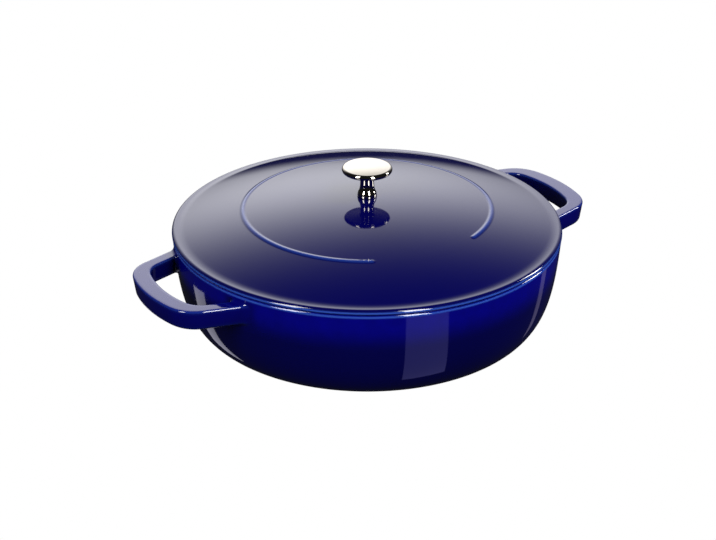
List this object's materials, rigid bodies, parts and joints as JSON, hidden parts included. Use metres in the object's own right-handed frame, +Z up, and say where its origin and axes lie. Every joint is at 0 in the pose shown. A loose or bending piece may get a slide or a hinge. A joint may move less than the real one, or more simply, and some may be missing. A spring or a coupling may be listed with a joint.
{
  "type": "lidded cast iron saute pan",
  "caption": "Shallow round enamelled cast-iron pan with a loop handle at each side and a loose domed lid carrying a turned metal knob, for browning and braising on a stovetop.",
  "frame": {"origin": "middle of the flat standing face, under the axis of the pan", "axes": "+X along the line of the two handles, +Z up along the axis of the pan, -Y towards the open stretch of the bead on the lid"},
  "size_m": [0.3678, 0.2906, 0.1256],
  "materials": {
    "pan_enamel": "glossy deep blue vitreous enamel outside, matt black enamel inside",
    "lid_enamel": "glossy deep blue vitreous enamel on top, matt black enamel underneath",
    "knob_nickel": "mirror-polished nickel plate",
    "fastener_steel": "plain zinc-plated steel"
  },
  "bodies": {
    "pan": {"pan": "pan_enamel"},
    "lid": {"lid": "lid_enamel", "knob": "knob_nickel", "knob_screw": "fastener_steel", "flat_washer": "fastener_steel", "spring_washer": "fastener_steel"}
  },
  "joints": [
    {"name": "lid_lift", "type": "slide", "parent": "pan", "child": "lid", "axis": [0, 0, 1], "range_m": [0, 0.15]}
  ]
}
